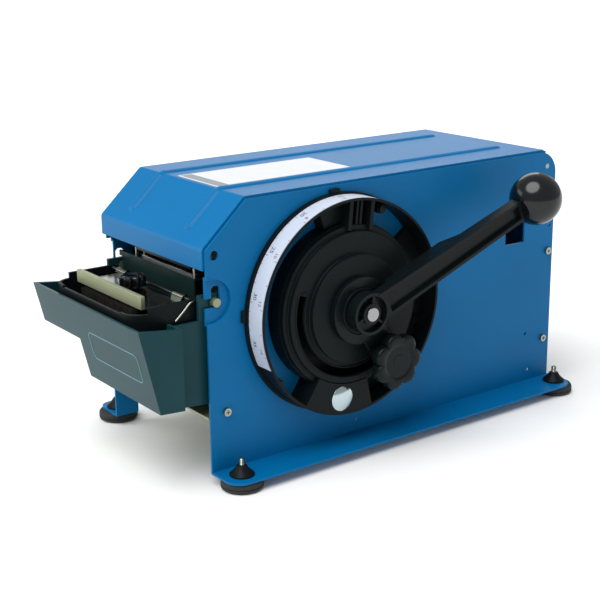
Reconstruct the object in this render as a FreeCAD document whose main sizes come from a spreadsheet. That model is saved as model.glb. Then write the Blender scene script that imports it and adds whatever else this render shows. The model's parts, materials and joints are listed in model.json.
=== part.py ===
import FreeCAD, Part
import Sketcher
import math
import os
import re

# Table-top dispenser for 80 mm gummed paper tape, in millimetres.
# X points to the lever side, Y to the rear, Z up. While a piece is built, x = 0 lies midway between
# the side plates, y = 0 at their front edges and z = 0 on top of their flanges. Each finished piece
# then moves by the datum cells, so that the origin is under the middle of the whole machine.

doc = FreeCAD.newDocument("tape_dispenser")
sheet = doc.addObject("Spreadsheet::Sheet", "Sizes")

SIZES = [
    # side plates and the sheet metal between them
    ("plate_length", 395), ("plate_height", 225), ("plate_spread", 167), ("sheet_gauge", 2),
    ("nose_run", 40), ("nose_drop", 36.5), ("rear_round", 21), ("flange_reach", 118),
    ("flange_length", 397), ("flange_round", 14), ("arch_height", 44), ("leg_front", 23),
    ("leg_rear", 360), ("window_front", 330.8), ("window_rear", 355.8), ("window_low", 141.5),
    ("window_high", 172), ("slot_y", 10.1), ("slot_z", 144.1), ("slot_half", 4),
    ("slot_top", 158), ("dish_y", 4), ("dish_z", 146), ("dish_radius", 20.5), ("dish_depth", 3),
    ("base_level", 46), ("base_turnup", 14), ("rear_face", 391), ("rear_low", 28),
    ("rear_high", 196),
    # feet
    ("foot_x", 101), ("foot_front", 17.5), ("foot_rear", 386), ("leg_foot_front", 12),
    ("leg_foot_rear", 385), ("pad_radius", 18), ("pad_height", 9), ("cone_radius", 10.5),
    ("cone_height", 9), ("stud_radius", 2.5), ("stud_height", 15),
    # lid
    ("lid_gauge", 1.5), ("lid_gap", 0.5), ("lid_left", 86.5), ("lid_right", 81), ("lip_low", 172),
    ("lid_rear", 380), ("skirt_depth", 9), ("hinge_y", 383.6), ("hinge_z", 211.3),
    ("hinge_pin", 2.5), ("bead_x", 46), ("bead_radius", 8), ("bead_rise", 2),
    # dial on the right plate
    ("dial_y", 130.3), ("dial_z", 123.5), ("ring_radius", 95.5), ("wall_radius", 93),
    ("wall_inner", 91.6), ("dial_depth", 24.4), ("band_near", 4), ("band_far", 23.6),
    ("band_gauge", 0.8), ("cup_radius", 72), ("cup_depth", 16), ("step_radius", 66),
    ("step_depth", 23.8), ("face_radius", 47), ("face_depth", 29), ("boss_radius", 20),
    ("boss_depth", 35), ("track_radius", 56), ("track_half", 3.5), ("track_start", 160),
    ("track_sweep", 150), ("bumper_radius", 11), ("bumper_turn", 260), ("bumper_reach", 79),
    # lever
    ("shaft_radius", 6), ("shaft_end", 49.5), ("lever_turn", 21.3), ("lever_reach", 200.5),
    ("lever_back", 37), ("lever_front", 48), ("lever_lean", 5), ("hub_radius", 18),
    ("arm_half", 12), ("arm_tip_half", 9.5), ("arm_rail", 3), ("arm_end", 180),
    ("ball_radius", 23.5),
    # length stop
    ("stop_turn", 301.5), ("stop_back", 29.6), ("stop_front", 34.6), ("stop_hoop", 29),
    ("stop_knob_radius", 25), ("stop_knob_near", 35.2), ("stop_knob_far", 49), ("bolt_radius", 3),
    # feed train
    ("gear_module", 1.5), ("gear_teeth", 70), ("idler_teeth", 20), ("pinion_teeth", 15),
    ("gear_near", 58), ("gear_far", 66), ("idler_stud", 4), ("feed_rise", 8.5),
    ("feed_reach", 84.75), ("feed_radius", 25), ("sleeve_gauge", 4),
    ("tape_half", 45), ("tape_level", 157), ("feed_shaft", 5), ("press_radius", 10),
    ("cheek_face", 50), ("cheek_gauge", 3), ("knife_y", 80), ("knife_z", 166),
    ("tie_y", 170), ("tie_z", 200),
    # roll cradle
    ("roll_front", 225), ("roll_rear", 315), ("roll_level", 70), ("roll_radius", 9),
    ("roll_shaft", 4), ("guide_y", 270), ("guide_z", 62),
    # water tank, tray, brush and weight plate
    ("tank_half", 93), ("tank_top", 137), ("tank_front", 68), ("tank_foot_front", 51.4),
    ("tank_floor", 66), ("tank_split", 25), ("tank_shallow", 101), ("tank_step", 29),
    ("tank_rear", 8), ("tank_neck", 77), ("tank_wall", 3), ("tray_half", 70),
    ("tray_front", 60.5), ("tray_rear", 2), ("tray_floor", 122), ("tray_high", 147),
    ("tray_low", 140.5), ("tray_wall", 2.5), ("brush_front", 50), ("brush_rear", 20),
    ("weight_half", 56), ("weight_front", 40), ("weight_level", 140.4), ("weight_pin_y", 3.5),
    ("weight_pin_z", 144.7), ("bar_half", 55.5), ("bar_high", 152.6), ("bar_gauge", 4),
    ("weight_knob_x", -4), ("weight_knob_y", 18), ("weight_knob_radius", 11.5),
    # from the building frame to the frame of the finished machine
    ("datum_x", 18.5), ("datum_y", 168), ("datum_z", 11),
]

for row, (alias, size) in enumerate(SIZES, 1):
    sheet.set(f"A{row}", alias)
    sheet.set(f"B{row}", str(size))
    sheet.setAlias(f"B{row}", alias)
doc.recompute()

subparts = []
CONTAINERS = ("PartDesign::Body", "Part::Cut", "Part::MultiFuse", "Part::MultiCommon",
              "Part::Compound")


def linked(text):
    """Expression text in which every alias points at the sheet."""
    return re.sub(r"[a-z]+(?:_[a-z]+)+", r"Sizes.\g<0>", str(text))


def amount(text):
    return float(sheet.evalExpression(str(text)))


def bind(item, prop, text):
    item.setExpression(prop, linked(text))


def seat(item, x, y, z):
    for key, text in zip("xyz", (x, y, z)):
        bind(item, f".Placement.Base.{key}", text)
    return item


def finish(label, item):
    """Names a sub-part and moves it from the building frame to the machine's frame."""
    if item.TypeId not in CONTAINERS:
        item = grouped([item])
    item.Label = label
    seat(item, "-datum_x", "-datum_y", "datum_z")
    subparts.append(item)
    return item


def box(x0, x1, y0, y1, z0, z1):
    item = doc.addObject("Part::Box", "block")
    bind(item, "Length", f"({x1}) - ({x0})")
    bind(item, "Width", f"({y1}) - ({y0})")
    bind(item, "Height", f"({z1}) - ({z0})")
    return seat(item, x0, y0, z0)


TURNS = {
    "x": FreeCAD.Rotation(FreeCAD.Vector(0, 0, 1), FreeCAD.Vector(1, 0, 0)),
    "y": FreeCAD.Rotation(FreeCAD.Vector(0, 0, 1), FreeCAD.Vector(0, 1, 0)),
    "z": FreeCAD.Rotation(),
}


def rod(axis, radius, x, y, z, length):
    """A cylinder that starts at x, y, z and runs along an axis."""
    item = doc.addObject("Part::Cylinder", "round")
    bind(item, "Radius", radius)
    bind(item, "Height", length)
    item.Placement = FreeCAD.Placement(FreeCAD.Vector(), TURNS[axis])
    return seat(item, x, y, z)


def cone(axis, radius, top, x, y, z, length):
    item = doc.addObject("Part::Cone", "taper")
    bind(item, "Radius1", radius)
    bind(item, "Radius2", top)
    bind(item, "Height", length)
    item.Placement = FreeCAD.Placement(FreeCAD.Vector(), TURNS[axis])
    return seat(item, x, y, z)


def joined(items):
    if len(items) == 1:
        return items[0]
    item = doc.addObject("Part::MultiFuse", "joined")
    item.Shapes = items
    return item


def cut(base, tools):
    item = doc.addObject("Part::Cut", "cut")
    item.Base = base
    item.Tool = joined(tools)
    return item


def common(items):
    item = doc.addObject("Part::MultiCommon", "common")
    item.Shapes = items
    return item


def grouped(items):
    item = doc.addObject("Part::Compound", "group")
    item.Links = items
    return item


def sector(radius, near, far, start, sweep):
    """A wedge of a disc about the dial's axis; near and far count from the right plate's face."""
    item = doc.addObject("Part::Cylinder", "wedge")
    bind(item, "Radius", radius)
    bind(item, "Height", f"({far}) - ({near})")
    bind(item, "Angle", sweep)
    a = math.radians(amount(start))
    along = FreeCAD.Vector(0, math.cos(a), math.sin(a))
    up = FreeCAD.Vector(1, 0, 0)
    turn = FreeCAD.Rotation(along, up.cross(along), up, "ZXY")
    item.Placement = FreeCAD.Placement(FreeCAD.Vector(), turn)
    return seat(item, f"plate_spread/2 + {near}", "dial_y", "dial_z")


def disc(radius, near, far):
    return sector(radius, near, far, "0", "360")


def ring(inner, outer, near, far, start="0", sweep="360"):
    hole = disc(inner, f"{near} - 1", f"{far} + 1")
    return cut(sector(outer, near, far, start, sweep), [hole])


def polar(reach, turn):
    """Expressions for the y and z of a point at a reach and an angle from the dial's axis."""
    return (f"dial_y + ({reach})*cos(({turn})*1 deg)", f"dial_z + ({reach})*sin(({turn})*1 deg)")


PLANES = {"yz": "YZ_Plane", "xy": "XY_Plane", "xz": "XZ_Plane"}


def new_body(name):
    return doc.addObject("PartDesign::Body", name)


def outline(body, plane, level, points):
    """A closed outline on a plane of the body; each corner is held by two dimensions."""
    sketch = body.newObject("Sketcher::SketchObject", "outline")
    role = PLANES[plane]
    base = [f for f in body.Origin.OriginFeatures if f.Role == role][0]
    sketch.AttachmentSupport = [(base, "")]
    sketch.MapMode = "FlatFace"
    bind(sketch, ".AttachmentOffset.Base.z", level)
    corners = [FreeCAD.Vector(amount(u), amount(v), 0) for u, v in points]
    count = len(corners)
    for i in range(count):
        sketch.addGeometry(Part.LineSegment(corners[i], corners[(i + 1) % count]), False)
    for i in range(count):
        sketch.addConstraint(Sketcher.Constraint("Coincident", i, 2, (i + 1) % count, 1))
    for i, (u, v) in enumerate(points):
        for kind, text, place in (("DistanceX", u, corners[i].x), ("DistanceY", v, corners[i].y)):
            index = sketch.addConstraint(Sketcher.Constraint(kind, -1, 1, i, 1, place))
            bind(sketch, f"Constraints[{index}]", text)
    return sketch


def circles(body, plane, level, spots):
    sketch = body.newObject("Sketcher::SketchObject", "circles")
    base = [f for f in body.Origin.OriginFeatures if f.Role == PLANES[plane]][0]
    sketch.AttachmentSupport = [(base, "")]
    sketch.MapMode = "FlatFace"
    bind(sketch, ".AttachmentOffset.Base.z", level)
    up = FreeCAD.Vector(0, 0, 1)
    for i, (u, v, radius) in enumerate(spots):
        centre = FreeCAD.Vector(amount(u), amount(v), 0)
        sketch.addGeometry(Part.Circle(centre, up, amount(radius)), False)
        for kind, text, place in (("DistanceX", u, centre.x), ("DistanceY", v, centre.y)):
            index = sketch.addConstraint(Sketcher.Constraint(kind, -1, 1, i, 3, place))
            bind(sketch, f"Constraints[{index}]", text)
        index = sketch.addConstraint(Sketcher.Constraint("Radius", i, amount(radius)))
        bind(sketch, f"Constraints[{index}]", radius)
    return sketch


def pad(body, sketch, length):
    item = body.newObject("PartDesign::Pad", "pad")
    item.Profile = sketch
    bind(item, "Length", length)
    doc.recompute()
    return item


def pocket(body, sketch, length):
    """Cuts against the sketch's normal, and makes sure that metal really goes."""
    before = body.Tip.Shape.Volume
    item = body.newObject("PartDesign::Pocket", "pocket")
    item.Profile = sketch
    bind(item, "Length", length)
    doc.recompute()
    if item.Shape.Volume > before - 0.01:
        raise RuntimeError(f"a pocket of {body.Name} cuts nothing")
    return item


def soften(body, radius, spots, reach=0.6):
    """Rounds the edges whose middles lie near the given points of the building frame."""
    names = []
    base = body.Tip
    places = [FreeCAD.Vector(*[amount(t) for t in spot]) for spot in spots]
    for index, edge in enumerate(base.Shape.Edges, 1):
        if any((edge.CenterOfMass - place).Length < reach for place in places):
            names.append(f"Edge{index}")
    if len(names) != len(places):
        raise RuntimeError(f"{body.Name}: {len(names)} edges for {len(places)} places")
    item = body.newObject("PartDesign::Fillet", "rounding")
    item.Base = (base, names)
    bind(item, "Radius", radius)
    doc.recompute()
    return item


def solid_feature(label, shape):
    item = doc.addObject("Part::Feature", label)
    item.Shape = shape
    return item


# ---------------------------------------------------------------- side plates

SCREWS = [("15.3", "50.5"), ("385.5", "40.1"), ("387.7", "128.2")]
RIGHT_HOLES = [
    ("7.9", "183.5", "4"), ("152.3", "10", "1.6"), ("362", "48.6", "1.8"),
    ("368.4", "10.4", "1.8"), ("389.2", "153.5", "1.8"), ("hinge_y", "hinge_z", "hinge_pin"),
    ("dial_y", "dial_z", "9"),
]
LEFT_HOLES = [("hinge_y", "hinge_z", "hinge_pin"), ("tie_y", "tie_z", "2.5")]


def side_plate(label, side, outline_points, holes):
    body = new_body(label)
    low = "plate_spread/2 - sheet_gauge" if side > 0 else "-plate_spread/2"
    pad(body, outline(body, "yz", low, outline_points), "sheet_gauge")
    soften(body, "rear_round", [(f"{low} + sheet_gauge/2", "plate_length", "plate_height")])
    dish_low = f"{low} - dish_depth" if side > 0 else f"{low} + sheet_gauge"
    pad(body, circles(body, "yz", dish_low, [("dish_y", "dish_z", "dish_radius")]), "dish_depth")
    floor = f"{low} + sheet_gauge" if side > 0 else f"{low} + dish_depth"
    spot = [("dish_y", "dish_z", "dish_radius - sheet_gauge")]
    pocket(body, circles(body, "yz", floor, spot), "dish_depth")
    top = f"{low} + 10"
    edge = "0" if side > 0 else "4.5"
    front = [("-30", "122"), (edge, "122"), (edge, "168"), ("-30", "168")]
    pocket(body, outline(body, "yz", top, front), "20")
    slot = [
        ("-5", "slot_z - slot_half"), ("slot_y", "slot_z - slot_half"),
        ("slot_y + slot_half*0.7", "slot_z - slot_half*0.7"), ("slot_y + slot_half", "slot_z"),
        ("slot_y + slot_half", "slot_top - 2"), ("slot_y + slot_half - 2", "slot_top"),
        ("slot_y - slot_half + 2", "slot_top"), ("slot_y - slot_half", "slot_top - 2"),
        ("slot_y - slot_half", "slot_z + slot_half"), ("-5", "slot_z + slot_half"),
    ]
    pocket(body, outline(body, "yz", top, slot), "20")
    drilled = holes + [(y, z, "2.5") for y, z in SCREWS]
    pocket(body, circles(body, "yz", top, drilled), "20")
    return body


right_points = [
    ("0", "-sheet_gauge"), ("plate_length", "-sheet_gauge"), ("plate_length", "plate_height"),
    ("nose_run", "plate_height"), ("0", "plate_height - nose_drop"),
]
left_points = [
    ("0", "-sheet_gauge"), ("leg_front", "-sheet_gauge"), ("leg_front", "arch_height"),
    ("leg_rear", "arch_height"), ("leg_rear", "-sheet_gauge"), ("plate_length", "-sheet_gauge"),
    ("plate_length", "plate_height"), ("nose_run", "plate_height"),
    ("0", "plate_height - nose_drop"),
]

body = side_plate("right_side_plate", 1, right_points, RIGHT_HOLES)
outer = "plate_spread/2 - sheet_gauge"
flange = [
    (outer, "0"), ("flange_reach", "0"), ("flange_reach", "flange_length"),
    (outer, "flange_length"),
]
pad(body, outline(body, "xy", "-sheet_gauge", flange), "sheet_gauge")
soften(body, "flange_round", [("flange_reach", "0", "-sheet_gauge/2"),
                              ("flange_reach", "flange_length", "-sheet_gauge/2")])
window = [
    ("window_front", "window_low"), ("window_rear", "window_low"),
    ("window_rear", "window_high"), ("window_front", "window_high"),
]
pocket(body, outline(body, "yz", "plate_spread/2 + 5", window), "10")
studs = [("foot_x", "foot_front", "stud_radius"), ("foot_x", "foot_rear", "stud_radius"),
         ("109.2", "200.9", "1.6")]
pocket(body, circles(body, "xy", "5", studs), "10")
finish("right_side_plate", body)

body = side_plate("left_side_plate", -1, left_points, LEFT_HOLES)
for start, end in (("0", "leg_front"), ("leg_rear", "plate_length")):
    inner = "-plate_spread/2 + sheet_gauge"
    tab = [("-flange_reach", start), (inner, start), (inner, end), ("-flange_reach", end)]
    pad(body, outline(body, "xy", "-sheet_gauge", tab), "sheet_gauge")
    soften(body, "leg_front/2 - 0.5", [("-flange_reach", start, "-sheet_gauge/2"),
                                       ("-flange_reach", end, "-sheet_gauge/2")])
studs = [("-foot_x", "leg_foot_front", "stud_radius"), ("-foot_x", "leg_foot_rear", "stud_radius")]
pocket(body, circles(body, "xy", "5", studs), "10")
finish("left_side_plate", body)

# ---------------------------------------------------------------- sheet metal between the plates

inside = "plate_spread/2 - sheet_gauge"
base = [box(f"-({inside})", inside, "-1", "rear_face - 4", "base_level", "base_level + sheet_gauge")]
for low, high in ((f"-({inside})", f"-({inside}) + sheet_gauge"), (f"{inside} - sheet_gauge", inside)):
    base.append(box(low, high, "12", "rear_face - 16", "base_level", "base_level + base_turnup"))
finish("base_plate", joined(base))

rear = [box(f"-({inside})", inside, "rear_face - sheet_gauge", "rear_face", "rear_low", "rear_high")]
for low, high in ((f"-({inside})", f"-({inside}) + sheet_gauge"), (f"{inside} - sheet_gauge", inside)):
    rear.append(box(low, high, "rear_face - 12", "rear_face", "rear_low", "base_level - 0.5"))
    rear.append(box(low, high, "rear_face - 12", "rear_face", "base_level + 30", "rear_high"))
handle_hole = box("-45", "45", "rear_face - 5", "rear_face + 5", "150", "178")
finish("rear_panel", cut(joined(rear), [handle_hole]))

# outlet panel: the upright face under the lid's lip, bent back into the deck that the tape slides on
panel = [
    box("-72", "49", "9.5", "11.5", "96", "152"),
    box("-78", "49", "9.5", "11.5", "152", "tape_level"),
    box("-cheek_face", "cheek_face", "9.5", "92", "tape_level - sheet_gauge", "tape_level"),
]
roller_gap = box("-47", "47", "33", "60", "tape_level - 5", "tape_level + 5")
finish("outlet_panel", cut(joined(panel), [roller_gap]))

pins = [rod("z", "1.3", f"{side}*47.5", "10.8", "tape_level", "8.5") for side in (-1, 1)]
finish("guide_pins", grouped(pins))
finish("fixed_knife", box("-44", "44", "13", "22", "tape_level", "tape_level + 2"))

# ---------------------------------------------------------------- inner cheeks, shafts, bushes

feed_y = "(dial_y - sqrt(feed_reach^2 - feed_rise^2))"
feed_z = "(dial_z + feed_rise)"
# the idler's centre closes the triangle between the drive gear and the pinion, below their line
to_idler = "(gear_module*(gear_teeth + idler_teeth)/2)"
from_idler = "(gear_module*(idler_teeth + pinion_teeth)/2)"
along = f"(({to_idler}^2 - {from_idler}^2 + feed_reach^2)/(2*feed_reach))"
aside = f"sqrt({to_idler}^2 - {along}^2)"
ahead = "(sqrt(feed_reach^2 - feed_rise^2)/feed_reach)"
rise = "(feed_rise/feed_reach)"
idler_y = f"(dial_y - {along}*{ahead} - {aside}*{rise})"
idler_z = f"(dial_z + {along}*{rise} - {aside}*{ahead})"
press_z = "(tape_level + 0.3 + press_radius)"


def cheek(label, low, points, flange_box, holes):
    body = new_body("cheek_sheet")
    pad(body, outline(body, "yz", low, points), "cheek_gauge")
    pocket(body, circles(body, "yz", f"{low} + 10", holes), "20")
    return finish(label, joined([body, flange_box]))


low_edge = "base_level + sheet_gauge"
cheek_holes = [(feed_y, feed_z, "8"), (feed_y, press_z, "3"), ("knife_y", "knife_z", "3")]
right_cheek = [
    ("20", low_edge), ("158", low_edge), ("158", "150"), ("118", "188"), ("20", "188"),
]
left_cheek = [("20", low_edge), ("100", low_edge), ("100", "175"), ("88", "188"), ("20", "188")]
foot_top = f"{low_edge} + 3"
cheek("right_cheek", "cheek_face", right_cheek,
      box("cheek_face", "cheek_face + 16", "20", "158", low_edge, foot_top),
      cheek_holes + [("dial_y", "dial_z", "9"), (idler_y, idler_z, "idler_stud")])
stud = joined([rod("x", "idler_stud", "cheek_face", idler_y, idler_z, "20"),
               rod("x", "idler_stud + 2.5", "gear_far + 1.6", idler_y, idler_z, "1.4")])
finish("idler_stud", stud)
cheek("left_cheek", "-cheek_face - cheek_gauge", left_cheek,
      box("-cheek_face - 16", "-cheek_face", "20", "100", low_edge, foot_top), cheek_holes)

bush = cut(joined([rod("x", "9", "plate_spread/2 - 6", "dial_y", "dial_z", "6 + cup_depth/2"),
                   rod("x", "13", "plate_spread/2 - 6", "dial_y", "dial_z", "4")]),
           [rod("x", "shaft_radius + 0.05", "60", "dial_y", "dial_z", "60")])
bushes = [bush]
bush = cut(joined([rod("x", "9", "cheek_face - 3", "dial_y", "dial_z", "6"),
                   rod("x", "12", "cheek_face - 3", "dial_y", "dial_z", "3")]),
           [rod("x", "shaft_radius + 0.05", "40", "dial_y", "dial_z", "40")])
finish("shaft_bushes", grouped(bushes + [bush]))

bushes = []
for side in (-1, 1):
    sleeve = rod("x", "8", f"{side}*(cheek_face + cheek_gauge/2) - cheek_gauge/2", feed_y, feed_z,
                 "cheek_gauge")
    bore = rod("x", "feed_shaft + 0.05", f"{side}*cheek_face - 10", feed_y, feed_z, "20")
    bushes.append(cut(sleeve, [bore]))
finish("feed_bushes", grouped(bushes))

finish("tape_guide_rod", rod("x", "5", f"-({inside})", "tie_y", "tie_z", f"2*({inside})"))
finish("knife_rod", rod("x", "3", "-cheek_face - cheek_gauge", "knife_y", "knife_z",
                        "2*cheek_face + 2*cheek_gauge"))
springs = []
for side in (-1, 1):
    coil = Part.makeHelix(2.0, 10.0, 4.4)
    wire = Part.Wire(coil.Edges)
    start = FreeCAD.Vector(4.4, 0, 0)
    section = Part.Wire([Part.makeCircle(0.6, start, FreeCAD.Vector(0, 1, 0))])
    shape = wire.makePipeShell([section], True, False)
    place = FreeCAD.Vector(side * 36 - 5, amount("knife_y"), amount("knife_z"))
    shape.Placement = FreeCAD.Placement(place, TURNS["x"])
    springs.append(solid_feature("spring_coil", shape))
finish("knife_springs", grouped(springs))

blades = []
for side in (-1, 1):
    near = f"{side}*(cheek_face + cheek_gauge + 0.5) - 0.5"
    blades.append(box(near, f"{near} + 1", f"{feed_y} - 6", f"{feed_y} + 22", f"{press_z} + 3.2",
                      f"{press_z} + 8"))
finish("pressure_springs", grouped(blades))

# ---------------------------------------------------------------- fasteners of the frame

heads = []
for side, shift in ((1, "0"), (-1, "-2.6")):
    places = list(SCREWS)
    if side < 0:
        places.append(("tie_y", "tie_z"))
    for y, z in places:
        face = f"{side}*plate_spread/2"
        low = f"{face} + ({shift})"
        shank = f"{face} - sheet_gauge" if side > 0 else face
        head = joined([rod("x", "3.4", low, y, z, "2.6"),
                       rod("x", "2.5", shank, y, z, "sheet_gauge")])
        slot_low = f"{face} + 1.2" if side > 0 else f"{face} - 3.6"
        cross = [box(slot_low, f"{slot_low} + 2.4", f"{y} - 0.5", f"{y} + 0.5", f"{z} - 1.9",
                     f"{z} + 1.9"),
                 box(slot_low, f"{slot_low} + 2.4", f"{y} - 1.9", f"{y} + 1.9", f"{z} - 0.5",
                     f"{z} + 0.5")]
        heads.append(cut(head, cross))

feet = [("foot_x", "foot_front"), ("foot_x", "foot_rear"), ("-foot_x", "leg_foot_front"),
        ("-foot_x", "leg_foot_rear")]
pads, cones, stems = [], [], []
for x, y in feet:
    under = "-sheet_gauge - pad_height"
    pads.append(joined([rod("z", "pad_radius", x, y, f"{under} + 2", "pad_height - 4"),
                        cone("z", "pad_radius - 2", "pad_radius", x, y, under, "2"),
                        cone("z", "pad_radius", "pad_radius - 2", x, y, "-sheet_gauge - 2", "2")]))
    hollow = rod("z", "stud_radius", x, y, "-1", "cone_height + 2")
    cones.append(cut(joined([rod("z", "cone_radius", x, y, "0", "1.5"),
                             cone("z", "cone_radius", "4", x, y, "1.5", "cone_height - 1.5")]),
                     [hollow]))
    stems.append(joined([rod("z", "stud_radius", x, y, "-sheet_gauge", "stud_height - 1 + sheet_gauge"),
                         cone("z", "stud_radius", "stud_radius - 0.8", x, y, "stud_height - 1", "1")]))
finish("foot_pads", grouped(pads))
finish("foot_cones", grouped(cones))
finish("foot_studs", grouped(stems))

# ---------------------------------------------------------------- lid

SLOPE = math.atan2(amount("nose_drop"), amount("nose_run"))
over = amount("lid_gap") + amount("lid_gauge")


def lid_line(depth):
    """The lid's section at a depth under its outer face, from the lip to the rear edge."""
    bend = depth * math.tan(SLOPE / 2)
    nose = depth * math.tan((math.pi / 2 - SLOPE) / 2)
    top = amount("plate_height") + over
    knee_y = amount("nose_run") - over * math.tan(SLOPE / 2)
    lip_z = amount("plate_height - nose_drop") + over * math.tan((math.pi / 2 - SLOPE) / 2)
    return [(f"{depth - over}", "lip_low"), (f"{depth - over}", f"{lip_z - nose}"),
            (f"{knee_y + bend}", f"{top - depth}"), ("lid_rear", f"{top - depth}")]


body = new_body("lid_shell")
gauge = amount("lid_gauge")
points = lid_line(0) + lid_line(gauge)[::-1]
pad(body, outline(body, "yz", "-lid_left", points), "lid_left + lid_right")
skirt = lid_line(0) + lid_line(amount("skirt_depth"))[::-1]
for level in ("-lid_left", "lid_right - lid_gauge"):
    pad(body, outline(body, "yz", level, skirt), "lid_gauge")
tail = [("-lid_right", "hinge_z - 5"), ("lid_right", "hinge_z - 5"),
        ("lid_right", "plate_height + lid_gap"), ("-lid_right", "plate_height + lid_gap")]
pad(body, outline(body, "xz", "-lid_rear", tail), "lid_gauge")
middle = "(lid_right - lid_left)/2"
crest = [(float(y), amount(z)) for y, z in lid_line(0)[1:3]]
soften(body, "5", [(middle, str(y), str(z)) for y, z in crest])
ears = []
for near in (f"{inside} - 3", f"-({inside}) + 1"):
    ear = joined([box(near, f"{near} + 2", "lid_rear - 9", "hinge_y", "hinge_z - 6.5",
                      "plate_height + lid_gap"),
                  rod("x", "6.5", near, "hinge_y", "hinge_z", "2")])
    ears.append(cut(ear, [rod("x", "hinge_pin + 0.05", f"{near} - 5", "hinge_y", "hinge_z", "12")]))
top = f"(plate_height + {over})"
beads = []
for side in (-1, 1):
    spine = f"{top} + bead_rise - bead_radius"
    run_start = f"{crest[1][0]} + 4"
    crown = rod("y", "bead_radius", f"{side}*bead_x - 3", run_start, spine, "lid_rear - 30 - nose_run")
    ends = [doc.addObject("Part::Sphere", "bead_end") for _ in range(2)]
    for end, y in zip(ends, (run_start, f"lid_rear - 30 - nose_run + {run_start}")):
        bind(end, "Radius", "bead_radius")
        seat(end, f"{side}*bead_x - 3", y, spine)
    above = box("-lid_left", "lid_right", "0", "plate_length", f"{top} - 0.5", f"{top} + 10")
    beads.append(common([joined([crown] + ends), above]))
    # the same bead on the front slope, turned down with it
    length = math.hypot(crest[1][0] - crest[0][0], crest[1][1] - crest[0][1])
    fall = FreeCAD.Vector(0, -math.cos(SLOPE), -math.sin(SLOPE))
    face = FreeCAD.Vector(0, -math.sin(SLOPE), math.cos(SLOPE))
    knee = FreeCAD.Vector(side * amount("bead_x") - 3, *crest[1])
    sink = amount("bead_rise") - amount("bead_radius")
    start = knee + fall * 4 + face * sink
    reach = length * 0.62
    run = Part.makeCylinder(amount("bead_radius"), reach, start, fall)
    for spot in (start, start + fall * reach):
        run = run.fuse(Part.makeSphere(amount("bead_radius"), spot))
    low = knee - face * 0.5 - FreeCAD.Vector(20, 0, 0)
    high = low + face * 9
    slab = Part.Face(Part.makePolygon([low, low + fall * length, high + fall * length, high, low]))
    slab = slab.extrude(FreeCAD.Vector(40, 0, 0))
    beads.append(solid_feature("slope_bead", run.common(slab)))
finish("lid", joined([body] + ears + beads))
finish("lid_hinge_pin", rod("x", "hinge_pin", "-plate_spread/2", "hinge_y", "hinge_z", "plate_spread"))

# ---------------------------------------------------------------- dial

drum = [
    ring("wall_inner", "ring_radius", "0", "band_near"),
    ring("wall_inner", "wall_radius", "band_near", "band_far"),
    ring("wall_inner", "wall_radius + band_gauge", "band_far", "dial_depth"),
    ring("cup_radius - 3", "cup_radius", "0", "cup_depth"),
    ring("16", "cup_radius - 2", "0", "3"),
    ring("cup_radius - 1", "wall_inner + 1", "0", "5", "285", "112"),
    ring("cup_radius - 1", "wall_inner + 1", "0", "12", "92", "16"),
    ring("cup_radius - 1", "wall_inner + 1", "0", "step_depth + 0.4", "236", "46"),
    ring("step_radius + 0.3", "cup_radius", "cup_depth + 4.3", "step_depth + 0.4", "236", "46"),
]
# U-shaped spoke at the top: two side walls and a floor, set square to the radius
spoke = []
for low, high, near, far in ((-13, -9.5, "0", "dial_depth - 1"), (9.5, 13, "0", "dial_depth - 1"),
                             (-3.2, -1, "8", "20"), (1, 3.2, "8", "20"), (-13, 13, "0", "12")):
    spoke.append(box(f"plate_spread/2 + {near}", f"plate_spread/2 + {far}", low, high,
                     "step_radius + 0.3", "wall_inner + 0.6"))
top_spoke = joined(spoke)
turn = FreeCAD.Rotation(FreeCAD.Vector(1, 0, 0), 84 - 90)
top_spoke.Placement = FreeCAD.Placement(FreeCAD.Vector(), turn)
seat(top_spoke, "0", "dial_y", "dial_z")
drum.append(cut(top_spoke, [disc("cup_radius - 1", "-1", "cup_depth + 4.3")]))
lug_turns = ("178", "222", "60", "340")
lugs = []
for lug in lug_turns:
    y, z = polar("wall_inner - 3.5", lug)
    lugs.append(rod("x", "4.5", "plate_spread/2", y, z, "6"))
drum_body = joined(drum + lugs)
screw_holes = []
for lug in lug_turns:
    y, z = polar("wall_inner - 3.5", lug)
    screw_holes.append(rod("x", "1.8", "plate_spread/2 - 1", y, z, "20"))
finish("dial_drum", cut(drum_body, screw_holes))

for lug in lug_turns:
    y, z = polar("wall_inner - 3.5", lug)
    heads.append(joined([rod("x", "1.8", "plate_spread/2", y, z, "6"),
                         rod("x", "3.2", "plate_spread/2 + 6", y, z, "1.8")]))
finish("frame_screws", grouped(heads))

finish("scale_band", ring("wall_radius", "wall_radius + band_gauge", "band_near + 0.5",
                          "band_far - 0.5", "28", "176"))

clips = []
for turn in (177, 92, 6):
    clip = grouped([box("plate_spread/2", "plate_spread/2 + 3.5", "-5", "5", "ring_radius",
                        "ring_radius + 3.5")])
    spin = FreeCAD.Rotation(FreeCAD.Vector(1, 0, 0), turn - 90)
    clip.Placement = FreeCAD.Placement(FreeCAD.Vector(), spin)
    clips.append(seat(clip, "0", "dial_y", "dial_z"))
finish("drum_clips", grouped(clips))

housing = cut(joined([
    disc("cup_radius - 1.2", "cup_depth", "cup_depth + 4"),
    disc("step_radius", "cup_depth + 4", "step_depth"),
    disc("face_radius", "step_depth", "face_depth"),
    disc("boss_radius", "face_depth", "boss_depth"),
]), [
    cut(disc("step_radius - 3", "cup_depth - 1", "step_depth - 3.5"),
        [disc("face_radius - 2", "cup_depth - 2", "step_depth")]),
    disc("shaft_radius + 1", "cup_depth - 1", "boss_depth + 1"),
    ring("track_radius - track_half", "track_radius + track_half", "cup_depth - 1",
         "step_depth + 1", "track_start", "track_sweep"),
])
finish("hub_housing", housing)

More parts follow.
